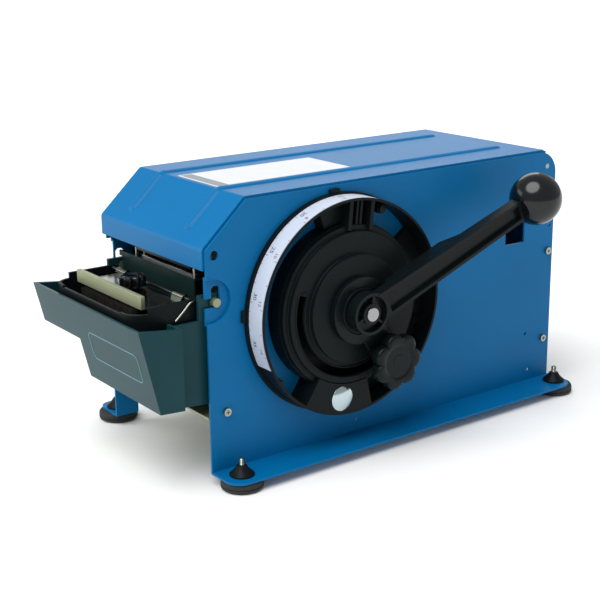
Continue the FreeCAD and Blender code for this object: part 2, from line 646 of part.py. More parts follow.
bumper_y, bumper_z = polar("bumper_reach", "bumper_turn")
dome = doc.addObject("Part::Sphere", "dome")
bind(dome, "Radius", "27")
seat(dome, "plate_spread/2 + step_depth + 3.4 - 27", bumper_y, bumper_z)
bumper = common([dome, rod("x", "bumper_radius", "plate_spread/2 + step_depth + 0.4", bumper_y,
                           bumper_z, "6")])
finish("bumper_disc", bumper)

# ---------------------------------------------------------------- lever

lever_spin = FreeCAD.Rotation(FreeCAD.Vector(1, 0, 0), amount("lever_turn"))


def lever_frame(item):
    """Turns a piece that lies along +Y from the origin into the lever's resting direction."""
    item.Placement = FreeCAD.Placement(FreeCAD.Vector(), lever_spin)
    return seat(item, "plate_spread/2", "dial_y", "dial_z")


def prism(points, near, far):
    """A flat outline in the lever's own plane, pulled from near to far of the plate's face."""
    corners = [FreeCAD.Vector(near, y, z) for y, z in points]
    face = Part.Face(Part.makePolygon(corners + corners[:1]))
    return face.extrude(FreeCAD.Vector(far - near, 0, 0))


half, tip, rail = amount("arm_half"), amount("arm_tip_half"), amount("arm_rail")
back, front, lean = amount("lever_back"), amount("lever_front"), amount("lever_lean")
end = amount("arm_end")
root = 10.0
outer_arm = [(root, -half), (end, -tip), (end, tip), (root, half)]
hollow_start, hollow_end = amount("hub_radius") + 1, end - 4
inner_arm = [(hollow_start, -half + rail), (hollow_end, -tip + rail), (hollow_end, tip - rail),
             (hollow_start, half - rail)]
# the arm leans outwards from the hub to the knob
shear = FreeCAD.Matrix()
shear.A12 = lean / end
arm = prism(outer_arm, back, front).transformGeometry(shear)
web_near, web_far = back + 3.5, back + 6.5
arm = arm.cut(prism(inner_arm, web_far, front + 1).transformGeometry(shear))
arm = arm.cut(prism(inner_arm, back - 1, web_near).transformGeometry(shear))
hub_radius = amount("hub_radius")
axis = FreeCAD.Vector(1, 0, 0)
hub = Part.makeCylinder(hub_radius, front - back, FreeCAD.Vector(back, 0, 0), axis)
hub_recess = Part.makeCylinder(hub_radius - 2.6, 6, FreeCAD.Vector(front - 5, 0, 0), axis)
post = Part.makeCylinder(9.0, front - back, FreeCAD.Vector(back, 0, 0), axis)
ribs = [Part.makeBox(4.5, 8.2, 1.8, FreeCAD.Vector(front - 5.5, 8, -0.9)) for _ in range(3)]
for index, rib in enumerate(ribs):
    rib.rotate(FreeCAD.Vector(0, 0, 0), axis, 60 + 120 * index)
# a rib behind the arm stiffens it towards the hub, and is notched round the length stop's hoop
notch_x, notch_y = amount("stop_front + 0.8"), amount("stop_hoop + 1")
rib_side = [(web_near, 14), (notch_x, 20), (notch_x, notch_y), (31, notch_y + 3), (31, 98),
            (web_near + 3.4, 124)]
rib_corners = [FreeCAD.Vector(x, y, 5) for x, y in rib_side]
wedge = Part.Face(Part.makePolygon(rib_corners + rib_corners[:1])).extrude(FreeCAD.Vector(0, 0, 4.9))
lever = hub.fuse([arm, wedge]).cut(hub_recess).fuse([post] + ribs).removeSplitter()
lever = lever.cut(Part.makeCylinder(amount("shaft_radius"), 60, FreeCAD.Vector(back - 5, 0, 0), axis))
boss_clear = Part.makeCylinder(amount("boss_radius + 0.4"), 40,
                               FreeCAD.Vector(amount("boss_depth + 0.4") - 40, 0, 0), axis)
lever = lever.cut(boss_clear)
finish("lever_arm", lever_frame(solid_feature("lever_arm_shape", lever)))

ball_spot = FreeCAD.Vector(back + 12, amount("lever_reach"), 0)
ball = Part.makeSphere(amount("ball_radius"), ball_spot)
ball = ball.cut(Part.makeBox(100, end, 100, FreeCAD.Vector(0, 0, -50)))
finish("lever_knob", lever_frame(solid_feature("lever_knob_shape", ball)))

finish("main_shaft", rod("x", "shaft_radius", "cheek_face - 5.8", "dial_y", "dial_z",
                         "plate_spread/2 + shaft_end - cheek_face + 5.8"))
collar = cut(rod("x", "10", "cheek_face - 5.8", "dial_y", "dial_z", "2.3"),
             [rod("x", "shaft_radius", "cheek_face - 10", "dial_y", "dial_z", "10")])
finish("shaft_collar", collar)


def involute(angle):
    return math.tan(angle) - angle


def gear_profile(teeth, phase):
    """Involute teeth as (y, z) points about the gear's axis, with one tooth centred on phase."""
    pressure = math.radians(20)
    module = amount("gear_module")
    pitch = module * teeth / 2
    base, tip_radius, foot = pitch * math.cos(pressure), pitch + module, pitch - 1.25 * module
    slack = 0.16 / pitch / 2
    half_tooth = math.pi / (2 * teeth) + involute(pressure) - slack
    start = max(base, foot)
    reaches = [start + (tip_radius - start) * k / 3 for k in range(4)]
    flank = [(reach, half_tooth - involute(math.acos(min(1.0, base / reach)))) for reach in reaches]
    if foot < base:
        flank.insert(0, (foot, flank[0][1]))
    points = []
    for tooth in range(int(teeth)):
        centre = phase + 2 * math.pi * tooth / teeth
        side = [(reach, centre - turn) for reach, turn in flank]
        side += [(reach, centre + turn) for reach, turn in reversed(flank)]
        points += [(reach * math.cos(turn), reach * math.sin(turn)) for reach, turn in side]
    return points


def gear(teeth, phase, hub_near, hub_far, hub_size, bore):
    near, far = amount("gear_near"), amount("gear_far")
    shape = prism(gear_profile(teeth, phase), near, far)
    hub = Part.makeCylinder(hub_size, hub_far - hub_near, FreeCAD.Vector(hub_near, 0, 0), axis)
    hole = Part.makeCylinder(bore, 80, FreeCAD.Vector(near - 40, 0, 0), axis)
    return shape.fuse(hub).cut(hole)


def bearing(from_y, from_z, to_y, to_z):
    return math.atan2(amount(f"{to_z} - {from_z}"), amount(f"{to_y} - {from_y}"))


# a tooth of the drive gear, then a tooth of the idler, points at the next wheel's centre line
first_mesh = bearing("dial_y", "dial_z", idler_y, idler_z)
second_mesh = bearing(idler_y, idler_z, feed_y, feed_z)
teeth, idler, pinion = amount("gear_teeth"), amount("idler_teeth"), amount("pinion_teeth")
wheel = gear(teeth, first_mesh, 54, 68, 14, amount("shaft_radius"))
finish("drive_gear", seat(solid_feature("drive_gear_shape", wheel), "0", "dial_y", "dial_z"))
idler_phase = first_mesh + math.pi + math.pi / idler
wheel = gear(idler, idler_phase, 57, 67, 8, amount("idler_stud + 0.05"))
finish("idler_gear", seat(solid_feature("idler_gear_shape", wheel), "0", idler_y, idler_z))
# where the idler's teeth stand at the second mesh decides where the pinion's gaps go
ahead_of_tooth = (second_mesh - idler_phase) * idler / (2 * math.pi)
pinion_phase = second_mesh + math.pi + math.pi / pinion + ahead_of_tooth * 2 * math.pi / pinion
wheel = gear(pinion, pinion_phase, 57, 68, 7.5, amount("feed_shaft"))
finish("feed_pinion", seat(solid_feature("feed_pinion_shape", wheel), "0", feed_y, feed_z))

# ---------------------------------------------------------------- length stop

stop_spin = FreeCAD.Rotation(FreeCAD.Vector(1, 0, 0), amount("stop_turn"))
near, far = amount("stop_back"), amount("stop_front")
tongue = prism([(18, -13), (62, -11), (84, -6), (86, -3), (86, 3), (84, 6), (62, 11), (18, 13)],
               near, far)
hoop = Part.makeCylinder(amount("stop_hoop"), far - near, FreeCAD.Vector(near, 0, 0), axis)
stop = hoop.fuse(tongue).removeSplitter()
stop = stop.cut(Part.makeCylinder(amount("boss_radius + 0.4"), 20, FreeCAD.Vector(near - 5, 0, 0), axis))
track = amount("track_radius")
bolt_hole = Part.makeCylinder(amount("bolt_radius"), 20, FreeCAD.Vector(near - 5, track, 0), axis)
stop_item = solid_feature("stop_arm_shape", stop.cut(bolt_hole))
stop_item.Placement = FreeCAD.Placement(FreeCAD.Vector(), stop_spin)
finish("stop_arm", seat(stop_item, "plate_spread/2", "dial_y", "dial_z"))

stop_y, stop_z = polar("track_radius", "stop_turn")
nut = Part.makeBox(2.6, 11, 9, FreeCAD.Vector(amount("step_depth - 6.3"), track - 5.5, -4.5))
bolt = Part.makeCylinder(amount("bolt_radius"), amount("stop_knob_near + 8.5 - step_depth + 6.3"),
                         FreeCAD.Vector(amount("step_depth - 6.3"), track, 0), axis)
bolt_item = solid_feature("clamp_bolt_shape", bolt.fuse(nut))
bolt_item.Placement = FreeCAD.Placement(FreeCAD.Vector(), stop_spin)
finish("clamp_bolt", seat(bolt_item, "plate_spread/2", "dial_y", "dial_z"))


def star(axis_name, place, radius, thick, lobes, notch):
    """A knob with round lobes; the notches between them are round too."""
    x, y, z = place
    core = rod(axis_name, radius, x, y, z, thick)
    tools = []
    for lobe in range(lobes):
        turn = 360 * (lobe + 0.5) / lobes
        u, v = f"({radius} + {notch}*0.62)*cos({turn}*1 deg)", f"({radius} + {notch}*0.62)*sin({turn}*1 deg)"
        if axis_name == "x":
            tools.append(rod("x", notch, f"{x} - 1", f"{y} + {u}", f"{z} + {v}", f"{thick} + 2"))
        else:
            tools.append(rod("z", notch, f"{x} + {u}", f"{y} + {v}", f"{z} - 1", f"{thick} + 2"))
    return cut(core, tools)


knob_near = "plate_spread/2 + stop_knob_near"
lobed = star("x", (f"{knob_near} + 3", stop_y, stop_z), "stop_knob_radius",
             "stop_knob_far - stop_knob_near - 3", 7, "6.5")
knob = cut(joined([lobed, rod("x", "13", knob_near, stop_y, stop_z, "4")]),
           [rod("x", "bolt_radius + 0.05", f"{knob_near} - 1", stop_y, stop_z, "10"),
            rod("x", "13.5", "plate_spread/2 + stop_knob_far - 1.2", stop_y, stop_z, "3")])
finish("stop_knob", knob)

# ---------------------------------------------------------------- feed roller, pressure roller, knife

span = "2*tape_half - 2"
finish("feed_core", cut(rod("x", "feed_radius - sleeve_gauge", "1 - tape_half", feed_y, feed_z, span),
                        [rod("x", "feed_shaft", "-60", feed_y, feed_z, "120")]))
finish("feed_sleeve", cut(rod("x", "feed_radius", "1 - tape_half", feed_y, feed_z, span),
                          [rod("x", "feed_radius - sleeve_gauge", "-60", feed_y, feed_z, "120")]))
finish("feed_shaft", rod("x", "feed_shaft", "-cheek_face - 6", feed_y, feed_z, "cheek_face + 6 + 70"))
finish("pressure_roller", cut(rod("x", "press_radius", "-42", feed_y, press_z, "84"),
                              [rod("x", "2.95", "-60", feed_y, press_z, "120")]))
finish("pressure_shaft", rod("x", "2.95", "-cheek_face - 6", feed_y, press_z, "2*cheek_face + 12"))

arm_points = [(74, 160), (86, 160), (86, 180), (80, 186), (13, 186), (13, 172), (20, 172), (26, 179),
              (68, 179), (74, 173)]
carrier = Part.makeBox(98, 3.7, 14, FreeCAD.Vector(-49, 12.3, 172))
for low in (-49, 46):
    carrier = carrier.fuse(prism(arm_points, low, low + 3))
pivot = FreeCAD.Vector(-60, amount("knife_y"), amount("knife_z"))
carrier = carrier.removeSplitter().cut(Part.makeCylinder(3.05, 120, pivot, axis))
finish("knife_carrier", solid_feature("knife_carrier_shape", carrier))
finish("moving_knife", box("-44", "44", "9.3", "12.3", "164", "182"))

# ---------------------------------------------------------------- roll cradle

rollers = (("front", "roll_front"), ("rear", "roll_rear"))
cheek_points = [("roll_front - 14", low_edge), ("roll_rear + 14", low_edge),
                ("roll_rear + 14", "roll_level + 8"), ("roll_front - 14", "roll_level + 8")]
axles = [("roll_front", "roll_level", "roll_shaft"), ("roll_rear", "roll_level", "roll_shaft"),
         ("guide_y", "guide_z", "roll_shaft")]
sides = []
for name, low, foot_low in (("cradle_left", "-51", "-63"), ("cradle_right", "56", "56")):
    body = new_body(name)
    pad(body, outline(body, "yz", low, cheek_points), "2")
    pocket(body, circles(body, "yz", f"{low} + 10", axles), "20")
    foot = box(foot_low, f"{foot_low} + 14", "roll_front - 14", "roll_rear + 14", low_edge,
               f"{low_edge} + 2")
    sides.append(joined([body, foot]))
finish("roll_cradle", grouped(sides))
rods = [rod("x", "roll_shaft", "-51", y, "roll_level", "109") for _, y in rollers]
rods.append(rod("x", "roll_shaft", "-51", "guide_y", "guide_z", "109"))
finish("cradle_rods", grouped(rods))
for name, y in rollers:
    finish(f"roll_roller_{name}", cut(rod("x", "roll_radius", "-46", y, "roll_level", "92"),
                                      [rod("x", "roll_shaft + 0.05", "-60", y, "roll_level", "120")]))
body = new_body("side_guide_plate")
fence = [("roll_front - 18", "52"), ("roll_rear + 18", "52"), ("roll_rear + 18", "90"),
         ("roll_rear - 10", "128"), ("roll_front + 10", "128"), ("roll_front - 18", "90")]
pad(body, outline(body, "yz", "47.5", fence), "2")
holes = [("roll_front", "roll_level", "roll_radius + 0.8"),
         ("roll_rear", "roll_level", "roll_radius + 0.8"), ("guide_y", "guide_z", "roll_shaft + 0.1")]
pocket(body, circles(body, "yz", "57.5", holes), "20")
collar = cut(rod("x", "8", "49.5", "guide_y", "guide_z", "6"),
             [rod("x", "roll_shaft + 0.1", "40", "guide_y", "guide_z", "20")])
finish("side_guide", joined([body, collar]))

# ---------------------------------------------------------------- water tank and what rides on it

body = new_body("tank_shell")
front_at_shallow = ("-(tank_foot_front + (tank_front - tank_foot_front)"
                    "*(tank_shallow - tank_floor)/(tank_top - tank_floor))")
deep = [("-tank_front", "tank_top"), ("-tank_foot_front", "tank_floor"),
        ("-tank_step", "tank_floor - 1.5"), ("-tank_step", "tank_top - 5")]
shallow = [("-tank_front", "tank_top"), (front_at_shallow, "tank_shallow"),
           ("-tank_step", "tank_shallow"), ("-tank_step", "tank_top - 5")]
pad(body, outline(body, "yz", "-tank_split", deep), "tank_split + tank_half")
pad(body, outline(body, "yz", "-tank_half", shallow), "tank_half - tank_split")
neck = [("-tank_step - 1", "tank_floor - 5"), ("tank_rear", "tank_floor - 8"),
        ("tank_rear", "tank_top - 7"), ("-tank_step - 1", "tank_top - 7")]
pad(body, outline(body, "yz", "-tank_split", neck), "tank_split + tank_neck")
neck_left = [("-tank_step - 1", "tank_shallow"), ("tank_rear", "tank_shallow"),
             ("tank_rear", "tank_top - 7"), ("-tank_step - 1", "tank_top - 7")]
pad(body, outline(body, "yz", "-tank_neck", neck_left), "tank_neck - tank_split")
wall = "tank_wall"
deep_in = [(f"-tank_front + {wall}", "tank_top + 9"), (f"-tank_front + {wall}", "tank_top"),
           (f"-tank_foot_front + {wall}", f"tank_floor + {wall}"),
           (f"-tank_step - {wall}", f"tank_floor + {wall}"), (f"-tank_step - {wall}", "tank_top + 9")]
pocket(body, outline(body, "yz", f"tank_half - {wall}", deep_in), f"tank_half + tank_split - 2*{wall}")
shallow_in = [(f"-tank_front + {wall}", "tank_top + 9"), (f"-tank_front + {wall}", "tank_top"),
              (f"{front_at_shallow} + {wall}", f"tank_shallow + {wall}"),
              (f"-tank_step - {wall}", f"tank_shallow + {wall}"), (f"-tank_step - {wall}", "tank_top + 9")]
pocket(body, outline(body, "yz", f"tank_half - {wall}", shallow_in), f"2*tank_half - 2*{wall}")
neck_in = [(f"-tank_step - {wall} - 1", "tank_floor + 1"), (f"tank_rear - {wall}", "tank_floor - 2"),
           (f"tank_rear - {wall}", "tank_top + 9"), (f"-tank_step - {wall} - 1", "tank_top + 9")]
pocket(body, outline(body, "yz", f"tank_neck - {wall}", neck_in), f"tank_neck + tank_split - 2*{wall}")
neck_left_in = [(f"-tank_step - {wall} - 1", f"tank_shallow + {wall}"),
                (f"tank_rear - {wall}", f"tank_shallow + {wall}"),
                (f"tank_rear - {wall}", "tank_top + 9"), (f"-tank_step - {wall} - 1", "tank_top + 9")]
pocket(body, outline(body, "yz", f"tank_neck - {wall}", neck_left_in), f"2*tank_neck - 2*{wall}")
ears, tank_pins = [], []
for side in (-1, 1):
    low = f"{side}*(tank_neck - {wall}/2) - {wall}/2"
    ears.append(box(low, f"{low} + {wall}", "-4", "16", "120", "151"))
    ears.append(rod("x", "4.8", f"{side}*(tank_neck + 0.5) - 0.5", "slot_y", "slot_z", "1"))
    tank_pins.append(rod("x", "slot_half - 0.35", f"{side}*(tank_neck + 1.25) - 4.25", "slot_y",
                         "slot_z", "8.5"))
finish("water_tank", cut(joined([body] + ears), [grouped(tank_pins)]))
again = []
for side in (-1, 1):
    again.append(rod("x", "slot_half - 0.35", f"{side}*(tank_neck + 1.25) - 4.25", "slot_y",
                     "slot_z", "8.5"))
finish("tank_pins", grouped(again))

body = new_body("tray_shell")
rim = [("-tray_half", "-tray_front"), ("tray_half", "-tray_front"), ("tray_half", "tray_rear"),
       ("-tray_half", "tray_rear")]
pad(body, outline(body, "xy", "tray_floor", rim), "tray_high - tray_floor")
inner = [("-tray_half + tray_wall", "-tray_front + tray_wall"),
         ("tray_half - tray_wall", "-tray_front + tray_wall"),
         ("tray_half - tray_wall", "tray_rear - tray_wall"),
         ("-tray_half + tray_wall", "tray_rear - tray_wall")]
pocket(body, outline(body, "xy", "tray_high", inner), "tray_high - tray_floor - tray_wall")
mid = "(tray_floor + tray_wall + tray_high)/2"
soften(body, "13.5", [(f"{side}*(tray_half - tray_wall)", "-tray_front + tray_wall", mid)
                      for side in (-1, 1)])
mid = "(tray_floor + tray_high)/2"
soften(body, "16", [(f"{side}*tray_half", "-tray_front", mid) for side in (-1, 1)])
dips = [box("-50", "50", "-tray_front - 1", "-tray_front + 8", "tray_low", "tray_high + 5"),
        box("-tray_half - 1", "tray_half + 1", "-tray_front - 1", "-45", "tray_low + 1.5",
            "tray_high + 5"),
        box("-tray_half + 4", "tray_half - 4", "tray_rear - 6", "tray_rear + 1", "138", "tray_high + 5"),
        rod("x", "1.5", "-80", "-weight_pin_y", "weight_pin_z", "160")]
finish("brush_tray", cut(body, dips))
finish("brush_block", box("1 - tape_half", "tape_half - 1", "-brush_front + 2", "-brush_rear - 2",
                          "tray_floor + tray_wall", "tray_floor + tray_wall + 5"))
finish("brush_bristles", box("1 - tape_half", "tape_half - 1", "-brush_front + 3", "-brush_rear - 3",
                             "tray_floor + tray_wall + 5", "weight_level - 0.4"))
clip_line = [(70.8, -22, 132), (70.8, -8, 144.6), (70.8, -2, 146.2)]
corners = [FreeCAD.Vector(*p) for p in clip_line]
clip = Part.makeSphere(0.8, corners[1])
for a, b in zip(corners, corners[1:]):
    clip = clip.fuse(Part.makeCylinder(0.8, (b - a).Length, a, b - a))
finish("wire_clip", solid_feature("wire_clip_shape", clip))

knuckles = []
for low in ("-weight_half", "weight_half - 16"):
    knuckles.append(rod("x", "3", low, "-weight_pin_y", "weight_pin_z", "16"))
    knuckles.append(box(low, f"{low} + 16", "-weight_pin_y - 4", "-weight_pin_y - 1", "weight_level",
                        "weight_pin_z"))
sheet_part = box("-weight_half", "weight_half", "-weight_front", "-weight_pin_y - 3", "weight_level",
                 "weight_level + sheet_gauge")
finish("weight_plate", cut(joined([sheet_part] + knuckles),
                           [rod("x", "1.58", "-80", "-weight_pin_y", "weight_pin_z", "160")]))
finish("weight_rod", rod("x", "1.5", "-tray_half", "-weight_pin_y", "weight_pin_z", "2*tray_half"))
finish("weight_bar", box("-bar_half", "bar_half", "-weight_front - bar_gauge", "-weight_front",
                         "weight_level + 1", "bar_high"))
finish("weight_bolt", rod("z", "2.5", "weight_knob_x", "-weight_knob_y", "weight_level + sheet_gauge",
                          "8"))
knob_low = "weight_level + sheet_gauge + 0.4"
lobed = star("z", ("weight_knob_x", "-weight_knob_y", f"{knob_low} + 1.5"), "weight_knob_radius",
             "10", 6, "3.2")
knob = cut(joined([lobed, rod("z", "6", "weight_knob_x", "-weight_knob_y", knob_low, "2")]),
           [rod("z", "2.55", "weight_knob_x", "-weight_knob_y", f"{knob_low} - 1", "9.1")])
finish("weight_knob", knob)

# ---------------------------------------------------------------- checks and files

doc.recompute()
for item in doc.Objects:
    if "Invalid" in item.State or "Error" in item.State:
        raise RuntimeError(f"{item.Name} ({item.Label}) is in state {item.State}")
whole = FreeCAD.BoundBox()
os.makedirs("parts", exist_ok=True)
for item in subparts:
    shape = item.Shape
    if shape.isNull() or not shape.isValid() or not shape.Solids:
        raise RuntimeError(f"{item.Label} has no valid solid")
    if item.Label[-1].isdigit():
        raise RuntimeError(f"{item.Label} doubles another object's label")
    whole.add(shape.BoundBox)
for item in subparts:
    item.Shape.exportStep(f"parts/{item.Label}.step")
print(len(subparts), "sub-parts, box", [round(v, 3) for v in (
    whole.XMin, whole.XMax, whole.YMin, whole.YMax, whole.ZMin, whole.ZMax)])
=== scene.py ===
import json
import math
import random

import bmesh
import bpy
from mathutils import Matrix, Vector


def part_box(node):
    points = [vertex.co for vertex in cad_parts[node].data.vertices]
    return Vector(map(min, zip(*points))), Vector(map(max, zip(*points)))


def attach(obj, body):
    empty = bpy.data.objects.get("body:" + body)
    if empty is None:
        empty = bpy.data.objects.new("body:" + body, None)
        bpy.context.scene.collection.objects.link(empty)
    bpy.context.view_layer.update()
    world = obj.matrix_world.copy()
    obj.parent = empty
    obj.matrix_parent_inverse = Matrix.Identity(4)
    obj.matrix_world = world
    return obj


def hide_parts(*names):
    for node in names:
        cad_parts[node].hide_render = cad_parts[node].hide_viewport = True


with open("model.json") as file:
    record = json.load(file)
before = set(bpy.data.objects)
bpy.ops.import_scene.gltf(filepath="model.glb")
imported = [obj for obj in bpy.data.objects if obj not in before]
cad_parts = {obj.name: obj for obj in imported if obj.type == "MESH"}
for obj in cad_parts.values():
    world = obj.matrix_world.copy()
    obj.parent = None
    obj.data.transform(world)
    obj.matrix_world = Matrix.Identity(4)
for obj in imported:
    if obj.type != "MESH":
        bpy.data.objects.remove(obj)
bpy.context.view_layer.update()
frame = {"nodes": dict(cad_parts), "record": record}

nodes = frame["nodes"]
scene = bpy.context.scene
bodies = frame["record"]["behaviour"]["bodies"]
bodyOf = {node: body for body, members in bodies.items() for node in members}
mm = 0.001
print("frame loaded:", len(nodes), "nodes")

# finishes


def hexColor(code):
    # sRGB hex to the linear values that the shaders use
    parts = [int(code[i:i + 2], 16) / 255 for i in (1, 3, 5)]
    return tuple(p / 12.92 if p <= 0.04045 else ((p + 0.055) / 1.055) ** 2.4 for p in parts) + (1.0,)


def addNode(tree, kind, settings, links=()):
    # settings go to sockets where one has that name or number, and to the node itself otherwise
    node = tree.nodes.new(kind)
    for key, value in settings.items():
        if isinstance(key, int) or key in node.inputs:
            node.inputs[key].default_value = value
        else:
            setattr(node, key, value)
    for socket, source in links:
        tree.links.new(source, node.inputs[socket])
    return node


def makeFinish(name, spec):
    # mottle: broad change of colour; grain: the fine surface; both sizes in mm
    # stretch draws the grain out along an axis, as brushing or turning does
    mat = bpy.data.materials.new(name)
    mat.use_nodes = True
    tree = mat.node_tree
    shader = tree.nodes["Principled BSDF"]
    where = addNode(tree, "ShaderNodeTexCoord", {}).outputs["Object"]
    broad = addNode(tree, "ShaderNodeTexNoise",
                    {"Scale": 1000 / spec["mottle"], "Detail": 4.0, "Roughness": 0.6}, [("Vector", where)])
    tint = addNode(tree, "ShaderNodeMix",
                   {"data_type": "RGBA", 6: hexColor(spec["color"]), 7: hexColor(spec["shade"])},
                   [(0, broad.outputs["Fac"])])
    tree.links.new(tint.outputs[2], shader.inputs["Base Color"])
    stretch = addNode(tree, "ShaderNodeMapping", {"Scale": spec.get("stretch", (1, 1, 1))},
                      [("Vector", where)])
    fine = addNode(tree, "ShaderNodeTexNoise", {"Scale": 1000 / spec["grain"], "Detail": 2.0},
                   [("Vector", stretch.outputs[0])])
    low, high = spec["rough"]
    gloss = addNode(tree, "ShaderNodeMapRange", {"To Min": low, "To Max": high},
                    [("Value", fine.outputs["Fac"])])
    tree.links.new(gloss.outputs[0], shader.inputs["Roughness"])
    bump = addNode(tree, "ShaderNodeBump",
                   {"Strength": spec.get("bump", 0.3), "Distance": spec["depth"] * mm},
                   [("Height", fine.outputs["Fac"])])
    tree.links.new(bump.outputs[0], shader.inputs["Normal"])
    for socket, value in spec.get("shader", {}).items():
        shader.inputs[socket].default_value = value
    return mat


finishes = {
    # steel sheet, powder coated: faint orange peel a millimetre across breaks up each highlight
    "powderCoatBlue": {"color": "#006CA6", "shade": "#00649A", "mottle": 60, "grain": 1.1, "depth": 0.05,
                       "rough": (0.36, 0.46), "bump": 0.3, "shader": {"Specular IOR Level": 0.14}},
    # zinc plated and yellow passivated: a cream, slightly green metal with cloudy colour
    "yellowZinc": {"color": "#A3A683", "shade": "#8F987C", "mottle": 18, "grain": 0.7, "depth": 0.02,
                   "rough": (0.34, 0.5), "shader": {"Metallic": 0.55}},
    # sheet steel, bright zinc: rolled lines run across, so it mirrors softly
    "brightZinc": {"color": "#B4B8AC", "shade": "#8E9486", "mottle": 24, "grain": 1.6, "depth": 0.02,
                   "rough": (0.14, 0.30), "stretch": (0.08, 1, 1), "shader": {"Metallic": 1.0}},
    # turned bar: fine rings round the shaft, satin
    "turnedSteel": {"color": "#A9ABAB", "shade": "#969998", "mottle": 12, "grain": 0.5, "depth": 0.02,
                    "rough": (0.22, 0.34), "stretch": (2, 0.1, 0.1), "shader": {"Metallic": 1.0}},
    # tool steel, surface ground: straight lines towards the cutting edge
    "groundSteel": {"color": "#B9BBBD", "shade": "#9FA2A5", "mottle": 20, "grain": 0.6, "depth": 0.02,
                    "rough": (0.16, 0.28), "stretch": (2, 1, 0.05), "shader": {"Metallic": 1.0}},
    # patented wire, oiled: darker, with a wet gloss
    "springSteel": {"color": "#5D5E60", "shade": "#4A4B4E", "mottle": 6, "grain": 0.4, "depth": 0.01,
                    "rough": (0.25, 0.4), "shader": {"Metallic": 1.0}},
    # sintered bronze: open pores, dull
    "sinteredBronze": {"color": "#A8834C", "shade": "#8C6A39", "mottle": 5, "grain": 0.4, "depth": 0.04,
                       "rough": (0.42, 0.6), "shader": {"Metallic": 1.0}},
    # acetal, injection moulded: ivory, waxy, light goes in a little
    "mouldedAcetal": {"color": "#E4E0D2", "shade": "#D8D3C2", "mottle": 20, "grain": 0.8, "depth": 0.02,
                      "rough": (0.32, 0.42),
                      "shader": {"Subsurface Weight": 0.15, "Subsurface Scale": 0.002}},
    # ABS, moulded in a spark-eroded tool: fine grain, so the black turns grey-green under the lamps
    "sparkGrainAbs": {"color": "#10171A", "shade": "#0C1214", "mottle": 30, "grain": 0.55, "depth": 0.05,
                      "rough": (0.34, 0.48), "bump": 0.4, "shader": {"Specular IOR Level": 0.12}},
    # ABS of the tank: greener, smoother, shines along its front
    "tankAbs": {"color": "#15444B", "shade": "#10373D", "mottle": 40, "grain": 0.7, "depth": 0.04,
                "rough": (0.30, 0.42), "bump": 0.35, "shader": {"Specular IOR Level": 0.15}},
    # the same ABS where the mould was polished, so it is glossier; its paler colour is a painted highlight
    # along the raised border line
    "tankBorderPolishAndPaintedHighlight": {"color": "#5F8A8F", "shade": "#547D82", "mottle": 20, "grain": 0.7, "depth": 0.02,
                      "rough": (0.25, 0.35)},
    # glass-filled nylon of the lever: hard, a little streaky from the mould
    "filledNylon": {"color": "#10181A", "shade": "#0B1113", "mottle": 16, "grain": 0.6, "depth": 0.04,
                    "rough": (0.22, 0.34), "bump": 0.3, "shader": {"Specular IOR Level": 0.15}},
    # phenolic, compression moulded and polished: deep black gloss
    "phenolicBlack": {"color": "#0A0E10", "shade": "#07090B", "mottle": 25, "grain": 1.5, "depth": 0.01,
                      "rough": (0.12, 0.2), "bump": 0.15, "shader": {"Specular IOR Level": 0.45}},
    # steel sheet painted black: satin, looks slate where it faces the light
    "satinBlackPaint": {"color": "#18312F", "shade": "#132826", "mottle": 35, "grain": 0.9, "depth": 0.03,
                        "rough": (0.32, 0.44), "shader": {"Specular IOR Level": 0.15}},
    # nitrile rubber, moulded: bloom greys it in patches
    "nitrileRubber": {"color": "#1C1D1D", "shade": "#262727", "mottle": 10, "grain": 0.5, "depth": 0.06,
                      "rough": (0.62, 0.8), "bump": 0.5},
    # printed vinyl strip: cool white, matt
    "vinylStrip": {"color": "#CBD3E0", "shade": "#BEC8D7", "mottle": 22, "grain": 0.8, "depth": 0.01,
                   "rough": (0.42, 0.52), "shader": {"Specular IOR Level": 0.3}},
    # screen inks on the vinyl: flat, a little drier than the strip
    "inkBlack": {"color": "#26292E", "shade": "#303339", "mottle": 3, "grain": 0.4, "depth": 0.01,
                 "rough": (0.5, 0.6)},
    "inkRed": {"color": "#8E2A30", "shade": "#7B2027", "mottle": 3, "grain": 0.4, "depth": 0.01,
               "rough": (0.5, 0.6)},
    # paper label under clear film: white with a soft sheen
    "filmedPaper": {"color": "#D3D6D8", "shade": "#C6CBCF", "mottle": 15, "grain": 1.0, "depth": 0.01,
                    "rough": (0.3, 0.42), "shader": {"Specular IOR Level": 0.3}},
    # grey ink of the label's plain panel
    "inkGrey": {"color": "#4C5C66", "shade": "#566873", "mottle": 6, "grain": 0.6, "depth": 0.01,
                "rough": (0.3, 0.4)},
    # nylon filament, drawn: near black, each tuft a little different
    "drawnNylon": {"color": "#17191B", "shade": "#2A2622", "mottle": 2.5, "grain": 0.3, "depth": 0.03,
                   "rough": (0.45, 0.65)},
    # steel, blackened in hot salts: dark, faintly blue where it catches light
    "blackOxide": {"color": "#2A2D31", "shade": "#1F2226", "mottle": 14, "grain": 0.6, "depth": 0.02,
                   "rough": (0.26, 0.4), "shader": {"Metallic": 0.8}},
    # thick zinc sheet of the weight, rolled bright: it mirrors the dark outlet behind it, and its colour is
    # darker than the bright zinc as a painted reflection of that outlet
    "rolledZincPaintedReflection": {"color": "#8C9288", "shade": "#6C7269", "mottle": 22, "grain": 1.8, "depth": 0.02,
                   "rough": (0.12, 0.26), "stretch": (0.08, 1, 1), "shader": {"Metallic": 1.0}},
    # polished disc, nickel plated: bright, slightly blue
    "nickelDisc": {"color": "#C3D2D6", "shade": "#B4C6CC", "mottle": 10, "grain": 0.9, "depth": 0.008,
                   "rough": (0.12, 0.2), "shader": {"Metallic": 1.0}},
}
made = {name: makeFinish(name, spec) for name, spec in finishes.items()}

